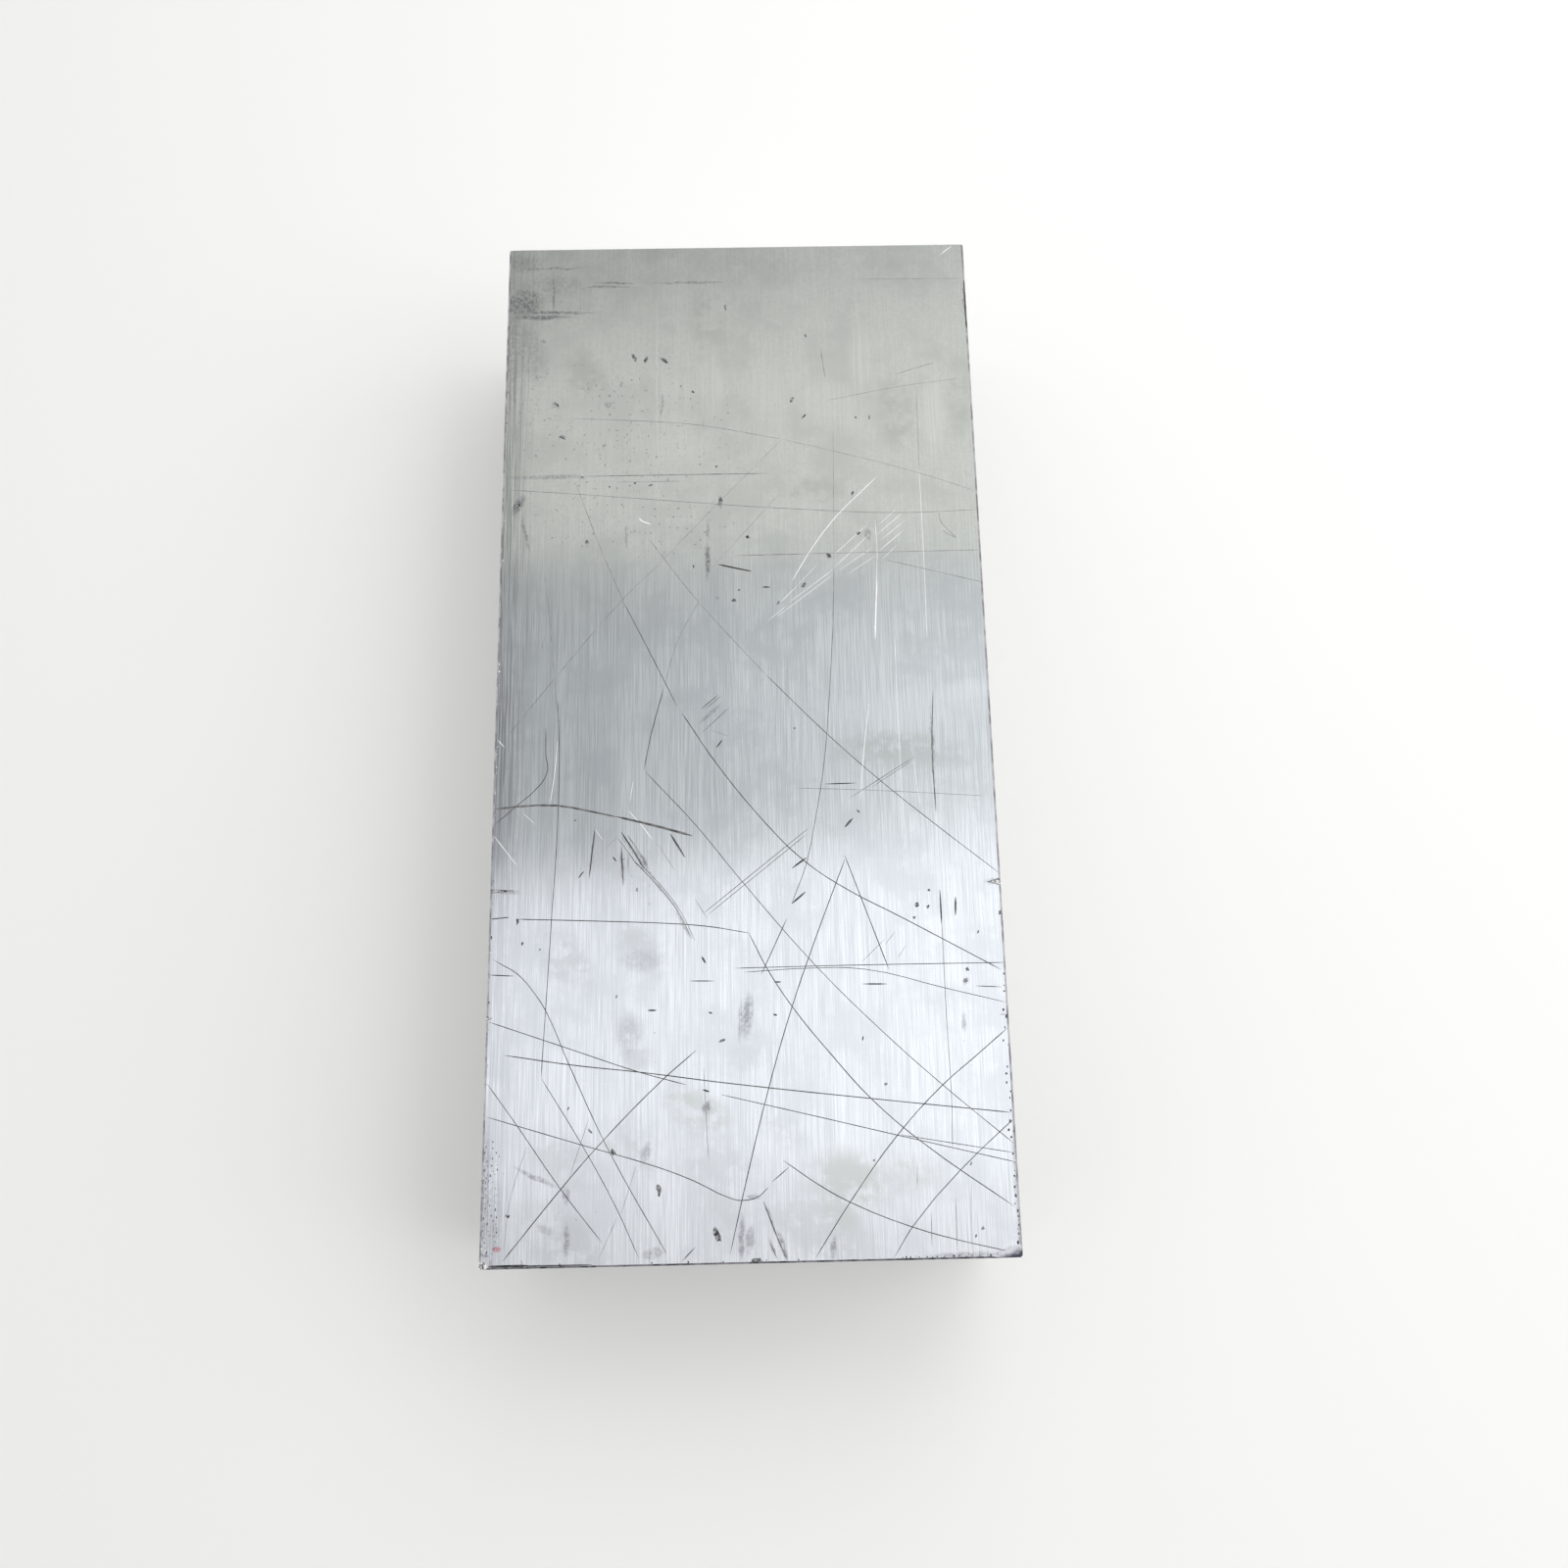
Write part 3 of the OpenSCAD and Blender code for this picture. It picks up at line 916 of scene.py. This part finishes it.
# %% Plough the long scratches and the shaded near edge
LONG_SCRATCHES_AND_EDGE_SHADE = [
    # The first two rows run along the near edge at the left: their dark walls are painted shade, the dark
    # line where that edge meets its shadow.
    (0.50, 498, 1292.6, 512, 1292.2, 540, 1291.6), (0.28, 530, 1292.2, 565, 1291.4, 604, 1290.6),
    (0.16, 636, 614, 657, 654, 691, 721),
    (0.21, 696, 728, 731, 779, 784, 843, 819, 877, 855, 902, 924, 938, 1021, 989),
    (0.16, 781, 688, 842, 747, 893, 792, 957, 843, 1020, 891),
    (0.16, 569, 715, 570, 734, 570, 815, 562, 950, 552, 1100),
    (0.16, 552, 1100, 593, 1167, 629, 1233, 652, 1284),
    (0.21, 557, 743, 557, 772, 559, 785, 552, 800, 529, 821, 503, 843),
    (0.19, 677, 703, 664, 751, 657, 786),
    (0.16, 659, 788, 710, 842, 756, 898, 834, 987, 898, 1050, 962, 1107, 1035, 1167),
    (0.14, 719, 931, 825, 845), (0.13, 724, 932, 822, 852),
    (0.13, 850, 637, 846, 713, 841, 777, 832, 836, 822, 884, 808, 922),
    (0.21, 862, 877, 832, 958, 808, 1028, 784, 1112, 762, 1203, 745, 1280),
    (0.21, 862, 873, 888, 940, 907, 989), (0.21, 803, 937, 777, 994),
    (0.26, 501, 938, 510, 937, 520, 936), (0.21, 527, 938, 612, 940, 695, 943, 728, 946, 764, 952),
    (0.21, 764, 952, 782, 987, 809, 1028, 850, 1078, 888, 1120, 939, 1164, 1035, 1231),
    (0.18, 749, 988, 862, 985, 1027, 982), (0.16, 759, 992, 824, 988, 883, 989, 964, 1008, 1028, 1023),
    (0.19, 499, 1043, 583, 1071, 652, 1094, 700, 1107),
    (0.18, 736, 1117, 837, 1140, 919, 1159, 1038, 1186), (0.16, 919, 1158, 1034, 1176),
    (0.22, 515, 1077, 585, 1087, 652, 1094, 740, 1105, 890, 1121, 1031, 1135),
    (0.18, 503, 979, 528, 994, 547, 1016, 557, 1032, 580, 1085, 619, 1170, 680, 1279),
    (0.22, 513, 1287, 571, 1215, 608, 1172, 677, 1101, 710, 1072),
    (0.18, 497, 1106, 527, 1148, 573, 1215, 614, 1268),
    (0.19, 497, 1140, 592, 1168, 671, 1191, 708, 1205, 746, 1223, 758, 1225, 774, 1221, 784, 1212),
    (0.19, 788, 1206, 805, 1191),
    (0.20, 799, 1184, 834, 1208, 868, 1227, 931, 1252, 977, 1265, 1030, 1277),
    (0.21, 832, 1284, 868, 1226, 916, 1158, 962, 1107, 995, 1078, 1029, 1048),
    (0.18, 912, 1284, 931, 1252, 980, 1194, 1021, 1154, 1034, 1142),
]
plough(LONG_SCRATCHES_AND_EDGE_SHADE, dark_scratch_and_edge_shade)
BOLD_SCRATCHES = [
    (0.45, 503, 826, 529, 823, 568, 822, 598, 827, 631, 834), (0.55, 628, 833, 670, 843, 707, 853),
    (0.24, 952, 705, 951, 764, 955, 828), (0.30, 779, 1226, 789, 1252, 797, 1272, 803, 1285),
]
plough(BOLD_SCRATCHES, old_scratch)

# %% Plough the faint scratches
FAINT_SCRATCHES = [
    (0.11, 556, 585, 560, 625, 565, 682, 569, 740), (0.24, 600, 486, 657, 485, 782, 483),
    (0.13, 519, 500, 585, 504, 670, 510, 806, 519, 919, 523, 996, 520),
    (0.12, 583, 427, 662, 430, 715, 434, 797, 448), (0.09, 797, 448, 850, 460, 936, 482, 996, 501),
    (0.18, 750, 567, 824, 565), (0.13, 824, 565, 1001, 561), (0.13, 903, 571, 1003, 594),
    (0.08, 842, 409, 919, 394, 978, 386), (0.12, 913, 382, 936, 375, 953, 370),
    (0.14, 837, 354, 842, 386), (0.09, 797, 449, 775, 471), (0.08, 775, 471, 740, 506, 673, 575),
    (0.13, 673, 575, 639, 608, 568, 690, 513, 757), (0.13, 587, 492, 613, 560, 636, 614),
    (0.13, 662, 550, 710, 611, 781, 688), (0.12, 716, 608, 690, 657, 677, 703),
    (0.14, 851, 575, 850, 637), (0.14, 958, 523, 959, 529, 962, 536),
    (0.12, 960, 533, 968, 541, 976, 549), (0.11, 960, 541, 968, 545, 976, 549),
    (0.09, 868, 285, 981, 284), (0.07, 795, 504, 726, 580), (0.10, 629, 492, 695, 491),
    (0.10, 811, 804, 883, 806, 1005, 812), (0.12, 601, 1141, 580, 1205), (0.12, 649, 1190, 634, 1238),
    (0.12, 629, 1244, 611, 1284), (0.12, 718, 1090, 723, 1185),
    (0.14, 961, 940, 966, 1042, 971, 1119, 972, 1175), (0.16, 975, 1221, 977, 1277),
    (0.14, 950, 1237, 951, 1272), (0.08, 850, 440, 851, 575), (0.08, 935, 394, 938, 481),
    (0.12, 671, 861, 689, 889), (0.10, 879, 982, 903, 958), (0.12, 903, 964, 913, 951),
    (0.10, 916, 978, 924, 965), (0.14, 556, 648, 552, 663), (0.10, 613, 870, 631, 853),
    (0.12, 709, 917, 722, 938), (0.08, 725, 745, 743, 751), (0.12, 936, 1185, 936, 1213),
    (0.10, 991, 1208, 991, 1277), (0.10, 538, 1168, 520, 1225, 514, 1275),
    (0.20, 645, 876, 672, 905, 690, 927, 706, 958), (0.14, 652, 880, 680, 910, 698, 936, 709, 960),
    (0.22, 640, 852, 650, 866, 661, 884), (0.20, 630, 855, 642, 871, 651, 884),
    (0.14, 641, 868, 641, 892),
]
plough(FAINT_SCRATCHES, grey_scratch)

# %% Plough the short marks
SHORT_MARKS = [
    (0.40, 733, 576, 752, 580, 767, 583), (0.40, 778, 599, 786, 599), (0.26, 842, 800, 874, 799),
    (0.12, 866, 815, 933, 772), (0.10, 890, 803, 932, 775), (0.50, 862, 844, 870, 835),
    (0.40, 808, 886, 823, 875), (0.40, 808, 922, 822, 910), (0.20, 716, 723, 733, 709),
    (0.14, 720, 723, 736, 710), (0.12, 717, 747, 744, 722), (0.30, 731, 763, 737, 755),
    (0.45, 684, 851, 699, 875), (0.30, 607, 846, 601, 897), (0.30, 634, 864, 636, 904),
    (0.30, 596, 889, 590, 896), (0.30, 634, 849, 645, 866, 657, 886), (0.30, 625, 874, 629, 879),
    (0.16, 1020, 1035, 1027, 1035), (0.35, 959, 908, 961, 944), (0.45, 975, 915, 975, 934),
    (0.45, 716, 976, 720, 983), (0.28, 500, 995, 524, 996), (0.22, 704, 1001, 729, 1001),
    (0.35, 790, 1002, 797, 1002), (0.40, 661, 1031, 670, 1031), (0.40, 723, 1033, 727, 1034),
    (0.40, 789, 1035, 793, 1036), (0.40, 717, 1112, 724, 1114), (0.35, 880, 1004, 905, 1004),
    (0.20, 996, 1006, 1022, 1007), (0.26, 710, 1272, 696, 1287), (0.30, 880, 1062, 881, 1057),
    (0.20, 785, 1266, 793, 1284), (0.80, 984, 284, 985, 300, 987, 338),
]
plough(SHORT_MARKS, dark_scratch_and_edge_shade)

# %% Plough the bright scratches
BRIGHT_SCRATCHES = [
    (0.18, 895, 486, 872, 508, 853, 527, 828, 560, 808, 593), (0.10, 914, 520, 896, 536),
    (0.12, 920, 524, 895, 545), (0.12, 923, 531, 899, 551), (0.14, 922, 541, 897, 562),
    (0.10, 915, 556, 900, 571), (0.11, 885, 535, 851, 566), (0.09, 888, 544, 859, 572),
    (0.11, 879, 553, 851, 579), (0.09, 891, 558, 856, 582), (0.09, 895, 566, 863, 587),
    (0.11, 850, 581, 806, 614), (0.10, 849, 587, 793, 629), (0.08, 834, 576, 813, 598),
    (0.12, 813, 598, 797, 614), (0.10, 804, 617, 784, 633),
    (0.13, 893, 530, 895, 560, 895, 572, 894, 600), (0.34, 895, 592, 894, 620, 893, 652),
    (0.11, 938, 481, 941, 537, 944, 600, 946, 652), (0.16, 887, 718, 883, 749, 878, 815),
    (0.10, 913, 649, 916, 726, 924, 866, 925, 892), (0.12, 932, 772, 939, 825),
    (0.18, 641, 827, 654, 841, 666, 857), (0.11, 646, 797, 643, 818), (0.15, 504, 853, 528, 884),
    (0.11, 534, 830, 546, 841), (0.18, 508, 755, 515, 763), (0.13, 569, 756, 566, 790, 561, 823),
    (0.16, 971, 251, 959, 260), (0.25, 652, 529, 656, 532, 664, 535), (0.11, 607, 846, 615, 857),
]
plough(BRIGHT_SCRATCHES, glint_scratch)

# %% [markdown]
# ## Pits and ragged edges
# Pits are small hollows, some round and some drawn out like leaves. Each one is a squashed ball, and all
# balls that stay apart can go into one tool, so one Boolean cuts them together. A pit's row is its pixel,
# its width and length in pixels, and its turn in degrees. One more pit lies on the floor of the dent.

# %% Dig the pits
PIT_DEPTH = 0.2
PIT_STEPS = 2
RAGGED = 0.8
RAGGED_TEETH = 2.0
DENT_PIT = (493.5, 1289)
DENT_PIT_DROP = 0.15 * MM
DENT_PIT_WIDTH = 0.7 * MM
DENT_PIT_LENGTH = 0.8 * MM
DENT_PIT_TURN = 20
PITS = [
    (647, 365, 4, 9, 25), (659, 367, 4, 9, -20), (677, 367, 4, 9, 50), (707, 400, 3, 3, 0),
    (808, 408, 3, 8, -30), (820, 425, 3, 6, -35), (574, 446, 4, 7, 70), (568, 413, 3, 5, 40),
    (622, 497, 2, 3, 0), (594, 487, 3, 2, 0), (735, 512, 4, 9, -10), (599, 553, 4, 5, 0),
    (763, 548, 4, 4, 0), (740, 313, 2, 7, 5), (664, 495, 3, 5, -60), (648, 493, 2, 3, 0),
    (731, 476, 3, 3, 0), (708, 578, 2, 4, 0), (732, 610, 3, 3, 20), (754, 602, 2, 3, 0),
    (749, 613, 3, 6, 70), (820, 597, 3, 7, -40), (794, 615, 2, 5, -40), (846, 567, 4, 7, 25),
    (876, 544, 3, 5, -50), (870, 503, 3, 5, -40), (873, 426, 2, 3, 0), (887, 426, 2, 5, 0),
    (822, 343, 2, 5, 10), (811, 743, 2, 2, 0), (528, 940, 3, 6, 0), (533, 963, 3, 3, 0),
    (551, 969, 2, 2, 0), (629, 1017, 2, 3, 0), (737, 1062, 3, 6, -70), (580, 1131, 2, 4, -30),
    (602, 1154, 2, 6, 45), (626, 1176, 4, 8, 45), (672, 1214, 5, 11, 10), (732, 1260, 6, 14, 15),
    (518, 1241, 4, 3, 0), (987, 989, 4, 4, -30), (985, 1000, 4, 4, 0), (904, 1106, 3, 3, 0),
    (1003, 1253, 3, 3, 0), (996, 1261, 2, 3, 0), (936, 923, 4, 6, -20), (933, 936, 3, 4, 0),
    (948, 908, 3, 3, 0), (947, 925, 3, 4, -40), (998, 951, 2, 4, -20), (1020, 931, 3, 4, 0),
    (650, 908, 2, 5, 0), (772, 1286, 9, 4, 0), (991, 1187, 2, 4, -20), (892, 1184, 2, 2, 0),
    (587, 837, 2, 2, 0), (876, 828, 2, 4, 40), (528, 515, 7, 10, -40),
]


def add_pit(pits, spot, width, length, turn):
    """Adds a squashed ball with a ragged outline: turn leans its long axis to the left of the far end."""
    seat = Matrix.Translation(spot) @ Matrix.Rotation(math.radians(turn), 4, "Z")
    shape = Matrix.Diagonal((width / 2, length / 2, PIT_DEPTH * width, 1))
    made = bmesh.ops.create_icosphere(pits, subdivisions=PIT_STEPS, radius=1, matrix=seat @ shape)
    for vert in made["verts"]:
        arm = vert.co - spot
        vert.co = spot + arm * (1 + RAGGED * noise.noise(arm.normalized() * RAGGED_TEETH + spot / MM))


pits = bmesh.new()
for x, y, width, length, turn in PITS:
    add_pit(pits, on_top(x, y), width * pixel, length * pixel, turn)
dent_floor = on_top(*DENT_PIT) - Vector((0, 0, DENT_PIT_DROP))
add_pit(pits, dent_floor, DENT_PIT_WIDTH, DENT_PIT_LENGTH, DENT_PIT_TURN)
carve(tool_object(pits, pit_shade_and_glints))
print(len(PITS) + 1, "pits leave", len(plate.data.polygons), "faces")

# %% [markdown]
# The near end, the right edge and the left edge are ragged with smaller bites, too many to trace. Seeded
# dice place them, so each run gives the same plate. Each area has a helper that turns two throws of the
# dice into a spot. Where a throw is squared, the bites crowd towards the edge or the corner.

# %% Say where the bites go


def bite_spot(side, inward, onward):
    """The spot of the top face so many millimetres in from a side and on from the near end."""
    return Vector((side + inward * MM if side < 0 else side - inward * MM, near + onward * MM, top))


def right_edge(first, second):
    return bite_spot(right, 0.5 + second * second, 60 * first * first)


def near_end_right(first, second):
    return bite_spot(right, 3 + 22 * first, 0.45 + second * 0.3)


def near_end_left(first, second):
    return bite_spot(left, 5 + 60 * first, 0.45 + second * 0.2)


def near_left_band(first, second):
    return bite_spot(left, 0.6 + 3.0 * second * second, 3 + 22 * first)


def left_edge(first, second):
    return bite_spot(left, 0.5 + second * 0.2, 200 * first)


# %% Ruffle the edges
BITE_STRETCH = (1.0, 2.2)
BITE_TURN = 20
edge_dice = random.Random(7)


def ruffle(count, area, smallest, largest, material):
    """Bites small pits that keep clear of each other into an area. Sizes are in millimetres."""
    bites = bmesh.new()
    taken = []
    for throw in range(count):
        spot = area(edge_dice.random(), edge_dice.random())
        width = edge_dice.uniform(smallest, largest) * MM
        length = width * edge_dice.uniform(*BITE_STRETCH)
        if all((spot - other).length > length + reach for other, reach in taken):
            add_pit(bites, spot, width, length, edge_dice.uniform(-BITE_TURN, BITE_TURN))
            taken.append((spot, length))
    carve(tool_object(bites, material))
    print(len(taken), "of", count, "bites of", material.name, "found room")


ruffle(130, right_edge, 0.2, 0.5, dark_scratch_and_edge_shade)
ruffle(60, near_end_right, 0.2, 0.45, dark_scratch_and_edge_shade)
ruffle(14, near_end_left, 0.2, 0.4, dark_scratch_and_edge_shade)
ruffle(240, near_left_band, 0.14, 0.38, pit_shade_and_glints)
ruffle(40, left_edge, 0.2, 0.45, torn_metal)

# %% [markdown]
# ## A map for the bake
# A game or a viewer reads the finish from a picture that is baked through a map. Automatic maps cut the
# face into thousands of islands along its grooves. A straight projection keeps them together: each face
# is laid flat along the axis that it faces most, and the top face gets nearly half of the map.

# %% Lay the surface out flat
TOP_SHARE = 0.98
SIDE_SHARE = 0.50
SIDE_PAGE = 0.49
PAGE_EDGE = 0.005
GUTTER = 2 * MM
MAP_SIDE = 1024

flat = plate.data.uv_layers.new(name="OFBake")
top_scale = TOP_SHARE / size.y
side_scale = SIDE_SHARE / (size.x + 2 * size.z + 2 * GUTTER)
side_step = (size.z + GUTTER) * side_scale
base_step = (size.x + GUTTER) * side_scale
end_rise = (size.y + GUTTER) * side_scale
layouts = {
    (2, True): (0, 1, top_scale, PAGE_EDGE, PAGE_EDGE),
    (2, False): (0, 1, side_scale, SIDE_PAGE, PAGE_EDGE),
    (0, True): (2, 1, side_scale, SIDE_PAGE + base_step, PAGE_EDGE),
    (0, False): (2, 1, side_scale, SIDE_PAGE + base_step + side_step, PAGE_EDGE),
    (1, True): (0, 2, side_scale, SIDE_PAGE, PAGE_EDGE + end_rise),
    (1, False): (0, 2, side_scale, SIDE_PAGE, PAGE_EDGE + end_rise + side_step),
}
for face in plate.data.polygons:
    axis = max(range(3), key=lambda part: abs(face.normal[part]))
    column, row, scale, page_left, page_foot = layouts[axis, face.normal[axis] > 0]
    for corner in face.loop_indices:
        spot = plate.data.vertices[plate.data.loops[corner].vertex_index].co - low
        flat.data[corner].uv = (page_left + spot[column] * scale, page_foot + spot[row] * scale)
print("the top face has", round(top_scale * MM * MAP_SIDE, 2), "map pixels a millimetre")

# %% [markdown]
# ## Hand over
# The dressed plate stands for the frame's node, rides on its only body, and keeps the frame's size.

# %% Finish
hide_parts("plate")
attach(plate, "root")
bpy.context.scene.view_settings.view_transform = "Standard"
plate.data.calc_loop_triangles()
print("plate has", len(plate.data.loop_triangles), "triangles")
